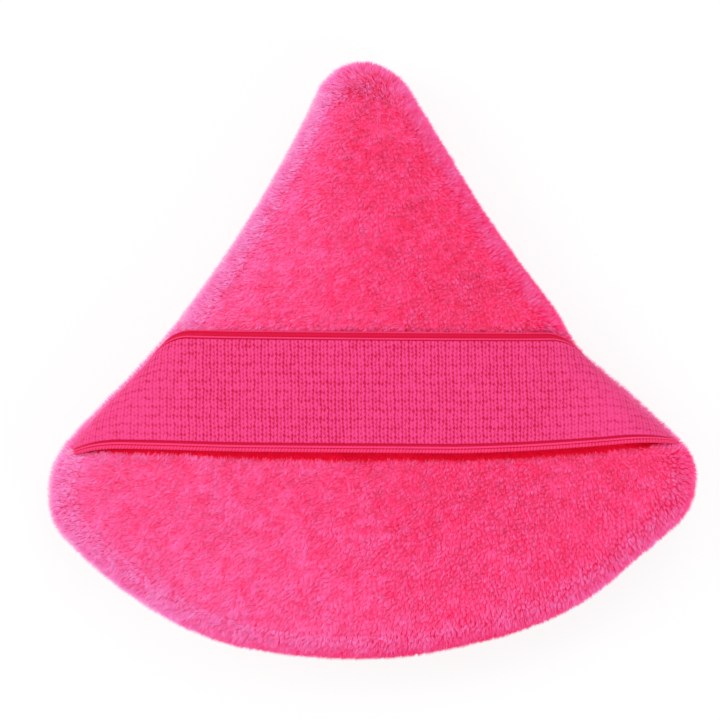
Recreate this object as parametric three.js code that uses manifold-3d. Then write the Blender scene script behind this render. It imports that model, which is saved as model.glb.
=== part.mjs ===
// Triangular powder puff: a foam pad sewn between two plush covers, with a knit elastic
// finger strap across the front whose ends are caught in the side seams.
// Millimetres. +X across the puff, +Y towards its apex, +Z out of the strap side.
// The puff lies on the flat worn into its back cover, with the origin under its middle.
import * as THREE from 'three';
import { mergeVertices } from 'three/addons/utils/BufferGeometryUtils.js';
import Module from 'manifold-3d';

// Outline of the puff, seen from the front
const puffWidth = 80;
const puffHeight = 73.4;
const apexRadius = 6.5;
const cornerRadius = 8.3;
// from the bottom edge up to the middle of a corner's arc
const cornerRise = 21;
// the hollow line of each side between its corner and the apex
const sideHollowRadius = 136;

// Section of the puff
const frontCrown = 8;
const backCrown = 7;
// how deep the back crown is pressed flat where the puff lies on it
const restFlat = 0.5;
// from the seam to where a cover is widest, and how far the seam is drawn in
const rollRise = 2.2;
const seamTuck = 1;
// fullness of the pad: lower is boxier, higher is more pointed
const fullnessShare = 0.67;
// where the foam's edge is cut off, as a share of the dome's quarter turn
const foamRimShare = 0.72;

// Covers and seam
const coverThickness = 2;
const allowanceWidth = 4;
const allowanceThickness = 1;
const seamGap = 0.3;
const clearance = 0.3;
// a turned-in edge never reaches past this share of a round corner's radius
const insetShare = 0.9;

// Threads
const threadDiameter = 0.45;
const tackWidth = 1.2;
const tackThickness = 0.5;
const closingLength = 25;
const closingWave = 0.12;
const closingPitch = 3.2;
const closingInsetShare = 0.3;

// Strap
const bandWidth = 12.6;
const bandThickness = 0.8;
const bindingWidth = 0.9;
const bindingThickness = 1.1;
const bindingGap = 0.3;
// the strap's middle line, up from the middle of the puff
const strapRise = -4.3;
// how far the taut strap sinks into the plush
const strapPress = 0.6;
// what each strap edge slips down as it goes round the slanted side
const upperEndSlip = 2.2;
const lowerEndSlip = 0.4;
// the part of a half strap that runs straight before it slips
const straightShare = 0.8;
// drift along the seam while the strap turns into it
const turnDrift = 1.2;
const tabLength = 3.2;

// Steps of the surfaces
const bottomSteps = 7;
const cornerSteps = 6;
const sideSteps = 7;
const apexSteps = 4;
const domeSteps = 8;
const innerSteps = 5;
const rollSteps = 3;
const foamSteps = 6;
const strapSteps = 10;
const turnSteps = 4;
const tabSteps = 2;
const bandRows = 5;
const cordSides = 8;
const threadSides = 6;

// Derived places
const quarter = Math.PI / 2;
const seamHeight = backCrown - restFlat;
const halfGap = seamGap / 2;
const domeCentre = -puffHeight / 2 + cornerRise + cornerRadius;
const threadRadius = threadDiameter / 2;
const allowanceTop = halfGap + allowanceThickness;
const bandHalf = bandWidth / 2;
const bindingReach = bandHalf + bindingGap + bindingWidth / 2;
const strapHalf = bandHalf + bindingGap + bindingWidth;
const strapThickest = Math.max(bandThickness, bindingThickness);
// the strap's middle layer stands this far off the unpressed cover
const strapLift = clearance + strapThickest / 2 - strapPress;

// Outline: a bottom arc, a corner arc, a hollow side arc and an apex arc, each tangent to the next
const cornerX = puffWidth / 2 - cornerRadius;
const cornerY = -puffHeight / 2 + cornerRise;
const apexY = puffHeight / 2 - apexRadius;
const bottomRadius = (cornerX ** 2 + cornerRise ** 2 - cornerRadius ** 2)
  / (2 * (cornerRise - cornerRadius));
const bottomY = -puffHeight / 2 + bottomRadius;

function sideCentre() {
  const toCorner = sideHollowRadius + cornerRadius;
  const toApex = sideHollowRadius + apexRadius;
  const span = Math.hypot(cornerX, apexY - cornerY);
  const along = (toCorner ** 2 - toApex ** 2 + span ** 2) / (2 * span);
  const aside = Math.sqrt(toCorner ** 2 - along ** 2);
  const unitX = -cornerX / span;
  const unitY = (apexY - cornerY) / span;
  return {
    x: cornerX + along * unitX + aside * unitY,
    y: cornerY + along * unitY - aside * unitX,
  };
}

const side = sideCentre();
const bottomEnd = Math.atan2(cornerY - bottomY, cornerX);
const cornerEnd = Math.atan2(side.y - cornerY, side.x - cornerX);
const apexStart = Math.atan2(side.y - apexY, side.x);

function arcPoint(centreX, centreY, radius, angle, hollow) {
  const nx = Math.cos(angle);
  const ny = Math.sin(angle);
  if (hollow) {
    return { x: centreX - radius * nx, y: centreY - radius * ny, nx, ny, reach: Infinity };
  }
  return { x: centreX + radius * nx, y: centreY + radius * ny, nx, ny, reach: radius * insetShare };
}

function mix(a, b, t) {
  return a + (b - a) * t;
}

// The right half of the outline from the middle of the bottom up to the apex
function rightOutline() {
  const points = [];
  for (let i = 0; i < bottomSteps; i += 1) {
    points.push(arcPoint(0, bottomY, bottomRadius, mix(-quarter, bottomEnd, i / bottomSteps), false));
  }
  for (let i = 0; i < cornerSteps; i += 1) {
    const angle = mix(bottomEnd, cornerEnd, i / cornerSteps);
    points.push(arcPoint(cornerX, cornerY, cornerRadius, angle, false));
  }
  for (let i = 0; i < sideSteps; i += 1) {
    const angle = mix(cornerEnd, apexStart, i / sideSteps);
    points.push(arcPoint(side.x, side.y, sideHollowRadius, angle, true));
  }
  for (let i = 0; i <= apexSteps; i += 1) {
    points.push(arcPoint(0, apexY, apexRadius, mix(apexStart, quarter, i / apexSteps), false));
  }
  return points;
}

const rightHalf = rightOutline();
const leftHalf = rightHalf.slice(1, -1).reverse().map((p) => ({ ...p, x: -p.x, nx: -p.nx }));
const outline = [...rightHalf, ...leftHalf];

// The outline's point on the right half at a height y, which rises all the way along it
function rightSideAt(y) {
  const next = Math.max(rightHalf.findIndex((p) => p.y >= y), 1);
  const low = rightHalf[next - 1];
  const high = rightHalf[next];
  const t = (y - low.y) / (high.y - low.y);
  const normal = new THREE.Vector2(mix(low.nx, high.nx, t), mix(low.ny, high.ny, t)).normalize();
  return { x: mix(low.x, high.x, t), y, nx: normal.x, ny: normal.y };
}

// The outline's point on the bottom arc at a place x
function bottomAt(x) {
  const angle = -Math.acos(x / bottomRadius);
  return arcPoint(0, bottomY, bottomRadius, angle, false);
}

function insetPoint(p, inset) {
  const reach = Math.min(inset, p.reach);
  return { x: p.x - p.nx * reach, y: p.y - p.ny * reach };
}

// Which share of the way from the dome's centre to the outline a place lies at
function outwardShare(x, y) {
  const dx = x;
  const dy = y - domeCentre;
  for (let i = 0; i < outline.length; i += 1) {
    const a = outline[i];
    const b = outline[(i + 1) % outline.length];
    const ax = a.x;
    const ay = a.y - domeCentre;
    const bx = b.x - a.x;
    const by = b.y - a.y;
    const det = dx * by - dy * bx;
    if (det > 0) {
      const along = (ax * by - ay * bx) / det;
      const on = (ax * dy - ay * dx) / det;
      if (along > 0 && on >= 0 && on <= 1) {
        return 1 / along;
      }
    }
  }
  return 0;
}

// Height of a cover above the seam at an outward share
function domeHeight(share, crown) {
  const sine = Math.min(share, 1) ** (1 / fullnessShare);
  return rollRise + (crown - rollRise) * Math.sqrt(Math.max(1 - sine ** 2, 0));
}

// A ring of points: the outline drawn in by an inset and scaled about the dome's centre
function ring(inset, share, height) {
  return outline.map((p) => {
    const q = insetPoint(p, inset);
    return new THREE.Vector3(q.x * share, domeCentre + (q.y - domeCentre) * share, height);
  });
}

function pole(height) {
  return [new THREE.Vector3(0, domeCentre, height)];
}

// Closed body from a stack of rings between two poles
function ringBody(rings) {
  const positions = [];
  const starts = [];
  for (const one of rings) {
    starts.push(positions.length / 3);
    for (const p of one) {
      positions.push(p.x, p.y, p.z);
    }
  }
  const index = [];
  const count = outline.length;
  for (let r = 0; r + 1 < rings.length; r += 1) {
    const low = rings[r];
    const high = rings[r + 1];
    for (let i = 0; i < count; i += 1) {
      const j = (i + 1) % count;
      if (low.length > 1) {
        index.push(starts[r] + i, starts[r] + j, starts[r + 1] + (high.length > 1 ? i : 0));
      }
      if (high.length > 1) {
        index.push(starts[r] + (low.length > 1 ? j : 0), starts[r + 1] + j, starts[r + 1] + i);
      }
    }
  }
  return facingOut(positions, index);
}

// A geometry whose faces point out of the body
function facingOut(positions, index) {
  let volume = 0;
  const at = (i) => new THREE.Vector3(positions[3 * i], positions[3 * i + 1], positions[3 * i + 2]);
  for (let t = 0; t < index.length; t += 3) {
    volume += at(index[t]).dot(at(index[t + 1]).cross(at(index[t + 2])));
  }
  const faces = volume < 0 ? index.slice().reverse() : index;
  const geometry = new THREE.BufferGeometry();
  geometry.setAttribute('position', new THREE.Float32BufferAttribute(positions, 3));
  geometry.setIndex(faces);
  return geometry;
}

// Dome angles from the crown, or from the edge of the flat, out to the widest ring
function domeAngles(steps, start) {
  const angles = [];
  for (let i = 0; i < steps; i += 1) {
    angles.push(mix(start, quarter, (start > 0 ? i : i + 1) / (start > 0 ? steps - 1 : steps)));
  }
  return angles;
}

// One cover: its outer dome and rolled edge, the allowance turned in at the seam, and its inside.
// Heights count from the seam, and up is 1 for the front and -1 for the back.
function coverShell(crown, flat, up) {
  const flatAngle = flat > 0 ? Math.acos((crown - flat - rollRise) / (crown - rollRise)) : 0;
  const innerCrown = crown - coverThickness;
  const place = (height) => seamHeight + up * height;
  const rings = [pole(place(crown - flat))];
  for (const angle of domeAngles(domeSteps, flatAngle)) {
    const height = rollRise + (crown - rollRise) * Math.cos(angle);
    rings.push(ring(0, Math.sin(angle) ** fullnessShare, place(height)));
  }
  for (let i = 1; i <= rollSteps; i += 1) {
    const angle = quarter * (i / rollSteps);
    const inset = seamTuck * (1 - Math.cos(angle));
    rings.push(ring(inset, 1, place(mix(rollRise, halfGap, Math.sin(angle)))));
  }
  rings.push(ring(seamTuck + allowanceWidth, 1, place(halfGap)));
  rings.push(ring(seamTuck + allowanceWidth, 1, place(allowanceTop)));
  rings.push(ring(coverThickness, 1, place(allowanceTop)));
  for (const angle of domeAngles(innerSteps, flatAngle).reverse()) {
    const height = rollRise + (innerCrown - rollRise) * Math.cos(angle);
    const inside = Math.min(height, crown - flat - coverThickness);
    rings.push(ring(coverThickness, Math.sin(angle) ** fullnessShare, place(inside)));
  }
  rings.push(pole(place(crown - flat - coverThickness)));
  return ringBody(rings);
}

// The foam pad fills the covers inside the turned-in allowances, with straight cut edges
function foamPad() {
  const inset = seamTuck + allowanceWidth + clearance;
  const away = coverThickness + clearance;
  const rimAngle = quarter * foamRimShare;
  const rings = [];
  const half = (crown, flat, up) => {
    const stack = [pole(seamHeight + up * (crown - flat - away))];
    for (let i = 1; i <= foamSteps; i += 1) {
      const angle = rimAngle * (i / foamSteps);
      const share = (Math.sin(angle) / Math.sin(rimAngle)) ** fullnessShare;
      const height = Math.min(rollRise + (crown - away - rollRise) * Math.cos(angle), crown - flat - away);
      stack.push(ring(inset, share, seamHeight + up * height));
    }
    return stack;
  };
  rings.push(...half(frontCrown, 0, 1));
  rings.push(...half(backCrown, restFlat, -1).reverse());
  return ringBody(rings);
}

// both edges of a strap end run into the seam the same way
const tabEdge = rightSideAt(strapRise - (lowerEndSlip + upperEndSlip) / 2 - turnDrift);

// Where the strap's middle layer is: step runs from the middle out to one side, through the turn
// round the rolled edge and into the seam, and across is the distance from its middle line
function strapPoint(step, across) {
  const outward = Math.abs(step);
  const sideSign = step < 0 ? -1 : 1;
  const upShare = (across + strapHalf) / (2 * strapHalf);
  const slip = mix(lowerEndSlip, upperEndSlip, upShare);
  const rowY = strapRise + across;
  if (outward <= strapSteps) {
    const end = rightSideAt(rowY - slip);
    const t = Math.sin(quarter * (outward / strapSteps));
    const late = Math.max(t - straightShare, 0) / (1 - straightShare);
    const x = end.x * t;
    const y = rowY - slip * late ** 2;
    const share = outwardShare(x, y);
    const height = domeHeight(share, frontCrown);
    const lean = new THREE.Vector3(end.nx, end.ny, 0).multiplyScalar(strapLift * late ** 2);
    const rise = strapLift * (1 - late ** 2);
    return new THREE.Vector3(sideSign * (x + lean.x), y + lean.y, seamHeight + height + rise);
  }
  const turn = Math.min((outward - strapSteps) / turnSteps, 1);
  const edge = rightSideAt(rowY - slip - turnDrift * turn);
  const angle = quarter * turn;
  const tab = tabLength * (Math.max(outward - strapSteps - turnSteps, 0) / tabSteps);
  const inset = mix(seamTuck, -strapLift, Math.cos(angle));
  const height = rollRise * (1 - Math.sin(angle));
  return new THREE.Vector3(
    sideSign * (edge.x - edge.nx * inset - tabEdge.nx * tab),
    edge.y - edge.ny * inset - tabEdge.ny * tab,
    seamHeight + height,
  );
}

const strapEnd = strapSteps + turnSteps + tabSteps;

// The strap's directions at a place: along it, across it and out of it
function strapFrame(step, across) {
  const small = clearance;
  const before = strapPoint(Math.max(step - 1, -strapEnd), across);
  const after = strapPoint(Math.min(step + 1, strapEnd), across);
  const along = after.clone().sub(before).normalize();
  const wide = strapPoint(step, across + small).sub(strapPoint(step, across - small)).normalize();
  const out = along.clone().cross(wide).normalize();
  const over = out.clone().cross(along).normalize();
  return { along, out, over };
}

// Closed body between an inner and an outer grid of points, both [column][row]
function sheetBody(inner, outer) {
  const columns = inner.length;
  const rows = inner[0].length;
  const positions = [];
  for (const grid of [inner, outer]) {
    for (const column of grid) {
      for (const p of column) {
        positions.push(p.x, p.y, p.z);
      }
    }
  }
  const layer = columns * rows;
  const id = (c, r, top) => c * rows + r + (top ? layer : 0);
  const index = [];
  const quad = (a, b, c, d) => index.push(a, b, c, a, c, d);
  for (let c = 0; c + 1 < columns; c += 1) {
    for (let r = 0; r + 1 < rows; r += 1) {
      quad(id(c, r, true), id(c + 1, r, true), id(c + 1, r + 1, true), id(c, r + 1, true));
      quad(id(c, r, false), id(c, r + 1, false), id(c + 1, r + 1, false), id(c + 1, r, false));
    }
    const last = rows - 1;
    quad(id(c, 0, false), id(c + 1, 0, false), id(c + 1, 0, true), id(c, 0, true));
    quad(id(c, last, true), id(c + 1, last, true), id(c + 1, last, false), id(c, last, false));
  }
  for (let r = 0; r + 1 < rows; r += 1) {
    const last = columns - 1;
    quad(id(0, r, true), id(0, r + 1, true), id(0, r + 1, false), id(0, r, false));
    quad(id(last, r, false), id(last, r + 1, false), id(last, r + 1, true), id(last, r, true));
  }
  return facingOut(positions, index);
}

// A sheet along the strap's path, as wide and thick as asked, running past its ends by overrun
function strapSheet(halfWidth, thickness, overrun) {
  const inner = [];
  const outer = [];
  for (let step = -strapEnd; step <= strapEnd; step += 1) {
    const innerColumn = [];
    const outerColumn = [];
    for (let row = 0; row < bandRows; row += 1) {
      const across = mix(-halfWidth, halfWidth, row / (bandRows - 1));
      const { along, out } = strapFrame(step, across);
      const middle = strapPoint(step, across);
      if (Math.abs(step) === strapEnd) {
        middle.addScaledVector(along, Math.sign(step) * overrun);
      }
      innerColumn.push(middle.clone().addScaledVector(out, -thickness / 2));
      outerColumn.push(middle.clone().addScaledVector(out, thickness / 2));
    }
    inner.push(innerColumn);
    outer.push(outerColumn);
  }
  return sheetBody(inner, outer);
}

// Closed body from equal loops of points, capped at both ends or joined end to end
function loopBody(loops, joined) {
  const sides = loops[0].length;
  const positions = [];
  for (const loop of loops) {
    for (const p of loop) {
      positions.push(p.x, p.y, p.z);
    }
  }
  const index = [];
  const spans = joined ? loops.length : loops.length - 1;
  for (let c = 0; c < spans; c += 1) {
    const next = (c + 1) % loops.length;
    for (let i = 0; i < sides; i += 1) {
      const j = (i + 1) % sides;
      index.push(c * sides + i, c * sides + j, next * sides + j);
      index.push(c * sides + i, next * sides + j, next * sides + i);
    }
  }
  if (!joined) {
    const last = (loops.length - 1) * sides;
    for (let i = 1; i + 1 < sides; i += 1) {
      index.push(0, i + 1, i);
      index.push(last, last + i, last + i + 1);
    }
  }
  return facingOut(positions, index);
}

// Points of an oval section about a middle, spanned by two directions
function ovalLoop(middle, over, out, width, thickness, sides) {
  const loop = [];
  for (let i = 0; i < sides; i += 1) {
    const angle = 2 * Math.PI * (i / sides);
    loop.push(middle.clone()
      .addScaledVector(over, Math.cos(angle) * width / 2)
      .addScaledVector(out, Math.sin(angle) * thickness / 2));
  }
  return loop;
}

// The corded binding along one edge of the strap
function bindingCord(across) {
  const loops = [];
  for (let step = -strapEnd; step <= strapEnd; step += 1) {
    const { over, out } = strapFrame(step, across);
    const middle = strapPoint(step, across);
    loops.push(ovalLoop(middle, over, out, bindingWidth, bindingThickness, cordSides));
  }
  return loopBody(loops, false);
}

const upward = new THREE.Vector3(0, 0, 1);

// A thread that runs all round the seam on the inner face of one allowance
function seamThread(up) {
  const height = seamHeight + up * (allowanceTop + clearance + threadRadius);
  const inset = coverThickness + clearance + threadRadius;
  const loops = outline.map((p) => {
    const q = insetPoint(p, inset);
    const outwards = new THREE.Vector3(p.nx, p.ny, 0);
    const middle = new THREE.Vector3(q.x, q.y, height);
    return ovalLoop(middle, outwards, upward, threadDiameter, threadDiameter, threadSides);
  });
  return loopBody(loops, true);
}

// The row of close stitches that holds one strap end down on the front allowance
function strapTack(sideSign) {
  const inset = coverThickness + clearance + threadDiameter + clearance + tackWidth / 2;
  const height = seamHeight + allowanceTop + clearance + tackThickness / 2;
  const top = strapRise + bandHalf - upperEndSlip - turnDrift;
  const bottom = strapRise - bandHalf - lowerEndSlip - turnDrift;
  const loops = [];
  for (let i = 0; i <= sideSteps; i += 1) {
    const p = rightSideAt(mix(bottom, top, i / sideSteps));
    const outwards = new THREE.Vector3(sideSign * p.nx, p.ny, 0);
    const middle = new THREE.Vector3(sideSign * (p.x - p.nx * inset), p.y - p.ny * inset, height);
    loops.push(ovalLoop(middle, outwards, upward, tackWidth, tackThickness, threadSides));
  }
  return loopBody(loops, false);
}

// The hand stitch that closes the turning gap, lying in the seam's groove along the bottom edge
function closingStitch() {
  const loops = [];
  const steps = Math.round(closingLength / closingPitch) * 4;
  for (let i = 0; i <= steps; i += 1) {
    const x = mix(-closingLength / 2, closingLength / 2, i / steps);
    const p = bottomAt(x);
    const q = insetPoint(p, seamTuck * closingInsetShare);
    const wave = closingWave * Math.sin(2 * Math.PI * (x / closingPitch));
    const middle = new THREE.Vector3(q.x, q.y, seamHeight + wave);
    const outwards = new THREE.Vector3(p.nx, p.ny, 0);
    loops.push(ovalLoop(middle, outwards, upward, threadDiameter, threadDiameter, threadSides));
  }
  return loopBody(loops, false);
}

const wasm = await Module();
wasm.setup();

function toSolid(geometry) {
  const bare = geometry.clone();
  bare.deleteAttribute('normal');
  bare.deleteAttribute('uv');
  const merged = mergeVertices(bare);
  const mesh = new wasm.Mesh({
    numProp: 3,
    vertProperties: new Float32Array(merged.attributes.position.array),
    triVerts: new Uint32Array(merged.index.array),
  });
  return new wasm.Manifold(mesh);
}

function fromSolid(solid) {
  const mesh = solid.getMesh();
  const geometry = new THREE.BufferGeometry();
  geometry.setAttribute('position', new THREE.Float32BufferAttribute(mesh.vertProperties, 3));
  geometry.setIndex(new THREE.Uint32BufferAttribute(mesh.triVerts, 1));
  return geometry;
}

// The room that the strap takes out of the covers, with its clearance all round
const strapRoom = toSolid(strapSheet(
  strapHalf + clearance,
  strapThickest + 2 * clearance,
  clearance,
));

function cutForStrap(geometry) {
  return fromSolid(toSolid(geometry).subtract(strapRoom));
}

const plushFront = new THREE.MeshStandardMaterial({ color: 0xff4a82, roughness: 0.95, metalness: 0 });
const plushBack = new THREE.MeshStandardMaterial({ color: 0xfb4680, roughness: 0.95, metalness: 0 });
const foam = new THREE.MeshStandardMaterial({ color: 0xf7f2e6, roughness: 0.9, metalness: 0 });
const knit = new THREE.MeshStandardMaterial({ color: 0xe83a78, roughness: 0.8, metalness: 0 });
const binding = new THREE.MeshStandardMaterial({ color: 0xf0407e, roughness: 0.75, metalness: 0 });
const thread = new THREE.MeshStandardMaterial({ color: 0xe02e6c, roughness: 0.6, metalness: 0 });

const group = new THREE.Group();

function addPiece(name, geometry, material) {
  geometry.computeVertexNormals();
  const mesh = new THREE.Mesh(geometry, material);
  mesh.name = name;
  group.add(mesh);
}

addPiece('front_cover', cutForStrap(coverShell(frontCrown, 0, 1)), plushFront);
addPiece('back_cover', cutForStrap(coverShell(backCrown, restFlat, -1)), plushBack);
addPiece('foam_core', foamPad(), foam);
addPiece('strap_band', strapSheet(bandHalf, bandThickness, 0), knit);
addPiece('strap_upper_binding', bindingCord(bindingReach), binding);
addPiece('strap_lower_binding', bindingCord(-bindingReach), binding);
addPiece('needle_thread', seamThread(1), thread);
addPiece('bobbin_thread', seamThread(-1), thread);
addPiece('right_strap_tack', strapTack(1), thread);
addPiece('left_strap_tack', strapTack(-1), thread);
addPiece('closing_stitch', closingStitch(), thread);

export default group;
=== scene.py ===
"""Looks of the triangular plush powder puff: the pile of both covers, the knit finger strap
with its corded edges, the foam inside and the stitches, lit as a plain product shot."""
import math

import bpy
import numpy as np
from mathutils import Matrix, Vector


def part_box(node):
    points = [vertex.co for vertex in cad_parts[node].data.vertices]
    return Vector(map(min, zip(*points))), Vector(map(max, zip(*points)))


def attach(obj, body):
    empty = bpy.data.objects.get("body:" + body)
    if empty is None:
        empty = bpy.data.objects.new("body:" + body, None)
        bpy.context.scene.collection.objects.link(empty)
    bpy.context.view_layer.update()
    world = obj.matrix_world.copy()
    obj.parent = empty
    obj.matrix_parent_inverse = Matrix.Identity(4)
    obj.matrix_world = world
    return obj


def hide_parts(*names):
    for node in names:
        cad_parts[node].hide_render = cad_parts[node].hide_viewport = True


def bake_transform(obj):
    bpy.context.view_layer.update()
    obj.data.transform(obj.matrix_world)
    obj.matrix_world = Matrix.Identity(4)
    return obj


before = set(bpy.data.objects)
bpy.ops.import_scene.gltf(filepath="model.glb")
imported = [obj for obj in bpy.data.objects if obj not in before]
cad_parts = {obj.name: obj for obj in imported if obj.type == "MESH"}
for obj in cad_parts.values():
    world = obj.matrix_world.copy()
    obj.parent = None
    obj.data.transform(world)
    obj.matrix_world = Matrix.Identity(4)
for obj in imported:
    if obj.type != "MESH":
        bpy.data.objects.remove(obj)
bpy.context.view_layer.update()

# Sizes in metres. The outline and section follow the part's own arcs.
front_low, front_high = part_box("front_cover")
back_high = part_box("back_cover")[1]
PUFF_WIDTH = front_high.x - front_low.x
PUFF_HEIGHT = front_high.y - front_low.y
APEX_RADIUS = 0.0065
CORNER_RADIUS = 0.0083
CORNER_RISE = 0.021
SIDE_HOLLOW_RADIUS = 0.136
SEAM_GAP = 0.0003
SEAM_Z = back_high.z + SEAM_GAP / 2
FRONT_CROWN = front_high.z - SEAM_Z
REST_FLAT = 0.0005
BACK_CROWN = SEAM_Z + REST_FLAT
ROLL_RISE = 0.0022
SEAM_TUCK = 0.001
FULLNESS = 0.67
CROWN_GRID = 0.0005
CROWN_MARGIN = 0.01
SOFT_TO, SOFT_TO_OVER = 0.62, 0.3

# Pile of the plush
CROWN_DEPTH = 0.0005
RIM_DEPTH = 0.00095
CROWN_LENGTH = 0.00076
RIM_LENGTH = 0.00115
CROWN_RADIUS = 0.000048
RIM_RADIUS = 0.000045
CROWN_PER_MM2 = {1: 85, -1: 50}
RIM_PER_MM2 = {1: 88, -1: 62}
PILE_BANDS = {1: 18, -1: 9}
BENT_FROM = 0.68
CLUMP_SIZE = 0.0006
CLUMP_PULL = 0.4
TUFT_SIZE = 0.0006
ROW_PITCH = 0.0008
ROW_WANDER = 0.0006
ROW_TILT = 0.3
LENGTH_SIZE = 0.0016
LENGTH_BASE = 0.86
LENGTH_SPREAD = 0.16
CROWN_RAGGED = 0.12
RIM_RAGGED = 0.42
MIDDLE_AT = 0.55
MIDDLE_LEAN = 0.6
MIDDLE_GATHER = 0.2
CROWN_SOFTNESS = 0.0028
SHOULDER = 0.62
SHOULDER_OVER = 0.25

# Comb of the pile, in degrees from -X towards -Y: in the middle, and what each millimetre adds
COMB_SWING = 48
COMB_PER_X = 1.0
COMB_PER_Y = 0.9
COMB_Y_FROM = 5
COMB_LIMITS = (12, 100)

# Where the pile stands steeper: to the right, and above but for the apex
STAND_X, STAND_X_OVER = -0.014, 0.034
STAND_Y, STAND_Y_OVER = 0.014, 0.014
NEAR_APEX = 0.02
APEX_LIES_SHARE = 0.6

# Lean of the pile: how much of a strand lies along the cloth, with the comb and outward
LEAN_LEFT = 0.66
LEAN_RIGHT = 0.34
LEAN_RIM = 0.28
LEAN_OUT = 0.38
LEAN_TURNED = 0.45
LEAN_SIDEWAYS = 0.55
LEAN_MOST = 0.8
RIM_LEAN_LOSS = 0.8
AGAINST_LOSS = 0.9

# What differs from tuft to tuft and strand to strand, in degrees
COMB_DRIFT = 14
TUFT_TURN = 110
STRAND_TURN = 40
CROWN_TILT = 30
RIM_TILT = 10
STRAND_TILT = 20

# Shade of the pile from 0, deep, to 1, pale: its level, a little paler low down, what adds to it by where a
# place faces as painted light (paler on slopes facing left, towards the apex and towards the bottom, and at
# the rim, less so at the bottom rim), painted shade towards the edge of each tuft, and how much patches,
# spots, clumps and single strands differ
SHADES = 9
TONE = 0.27
TONE_LOW = 0.04
TONE_LEFT = 0.42
TONE_RIM = 0.03
TONE_LEFT_RIM = 0.35
TONE_TUFT = 0.3
TONE_UP = 0.2
TONE_DOWN = 0.2
BOTTOM_LOSS = 1.8
TONE_PATCH = 0.06
PATCH_SIZE = 0.008
TONE_SPOT = 0.26
SPOT_SIZE = 0.0009
TONE_CLUMP = 0.5
TONE_STRAND = 0.4

# Pile by the strap: pressed flat under it and a little past it, painted with a shadow colour beside its
# edges, and pushed away below
PRESSED_DEGREES = 84
PRESSED_LENGTH = 0.55
PRESSED_PAST = 0.0002
UPPER_FREE_OVER = 0.0003
LOWER_FREE_OVER = 0.001
SHADOW_WIDE = 0.0003
SHADOW_MIDDLE = 0.007
SHADOW_EVEN_HALF = 0.012
SHADOW_FADES_OVER = 0.018
SHADOW_PATCH = 0.003
SHADOW_LEFT_LOSS = 0.0002
SHADOW_EDGE = 0.0006
SHADOW_UNDER = 0.0014
UPPER_SHADOW = 0.6
UPPER_SHADOW_WIDE = 0.0002
PUSHED_PAST = 0.0016
PUSHED_OVER = 0.0012
PUSHED_SHARE = 0.75

# Strap
STRAP_RISE = -0.004
STRAP_TILT = -0.0215
BAND_HALF = 0.0064
STRAP_HALF = 0.0075
STRAP_TOP = 0.0072
BAND_THICKNESS = 0.0008
LOWER_LIFT = 0.00025
UPPER_LIFT = -0.00005
END_INSET = 0.0008
LEFT_TIP_INSET = 0.0009
SEAM_INSET = 0.002
END_PRESS = 0.0011
BACK_PRESS = 0.0003
WINDOW_EDGE = 0.0016
UPPER_SLIP = 0.003
LOWER_SLIP = 0.0004
STRAIGHT_SHARE = 0.8
TURN_DRIFT = 0.0012
TAB_LENGTH = 0.0032
RIGHT_RISE = 0.0021
RIGHT_RISE_FROM = 0.009
RIGHT_RISE_OVER = 0.0295
RIGHT_RISE_POWER = 1.6
LEFT_RISE = 0.0002
LEFT_RISE_FROM = 0.014
LEFT_RISE_OVER = 0.016
WALE_PITCH = 0.00045
COURSE_PITCH = 0.00055
WALE_WANDER = 0.32
COURSE_WANDER = 0.6
LOOP_SWAY = 0.12
LOOP_SLANT = 0.8
KNIT_RELIEF = 0.00008
KNIT_BORDER = 0.00022
KNIT_END_FROM = 0.018
KNIT_END_OVER = 0.014
GAP_DEPTH = 0.84
LOOP_DEPTH = 0.2
ROW_DEPTH = 0.32
END_ROW_DEPTH = 0.28
YARN_DIFFERS = 0.26
KNIT_ROWS = 138
KNIT_COLUMNS = 1401

# Strap's edges: a tape each, between two across coordinates, with an inner and an outer cord on it
EDGE_COLUMNS = 1300
TAPES = {"upper": (0.0063, 0.0074), "lower": (-0.0072, -0.0063)}
TAPE_LIFT = 0.00005
TAPE_THICKNESS = 0.0005
CORD_SIDES = 10
CORDS = {
    "upper": (
        {"across": 0.00652, "radius": 0.00012, "lift": 0.00036, "twist": 0.00042, "depth": 0.00003},
        {"across": 0.0073, "radius": 0.00013, "lift": 0.0003, "twist": 0.00038, "depth": 0.00004,
         "contrast": 0.2, "level": 0.6},
    ),
    "lower": (
        {"across": -0.00675, "radius": 0.00015, "lift": 0.00036, "twist": 0.00042, "depth": 0.00003},
        {"across": -0.00717, "radius": 0.00027, "lift": 0.00026, "twist": 0.0004, "depth": 0.00006,
         "level": 0.8},
    ),
}

# Closing thread
THREAD_RADIUS = 0.00019
THREAD_SIDES = 8
THREAD_STANDS_OUT = 0.0002
PLY_RELIEF = 0.00003
PLY_PITCH = 0.0006
LADDER_PITCH = 0.0032
LADDER_HALF = 0.00018

# All that is random: the generator and the lattice hash's numbers
RNG = np.random.default_rng(7)
HASH_TOP = 0xFFFF
NOISE_SALT = 2654435761
CLUMP_SALT = 40503

DOME_Y = -PUFF_HEIGHT / 2 + CORNER_RISE + CORNER_RADIUS


def mix(a, b, t):
    return a + (b - a) * t


def smooth(t):
    t = np.clip(t, 0, 1)
    return t * t * (3 - 2 * t)


def ramp(value, start, over):
    """From 0 at the start to 1 past it, softly."""
    return smooth((value - start) / over)


def unit(v):
    return v / np.maximum(np.linalg.norm(v, axis=-1, keepdims=True), 1e-12)


def lattice_hash(c, salt):
    """A number from 0 to 65535 for each whole-numbered lattice place."""
    h = (c[:, 0] * 73856093) ^ (c[:, 1] * 19349663) ^ (c[:, 2] * 83492791) ^ salt
    h = (h ^ (h >> 13)) * 1274126177
    return (h ^ (h >> 16)) & HASH_TOP


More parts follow.
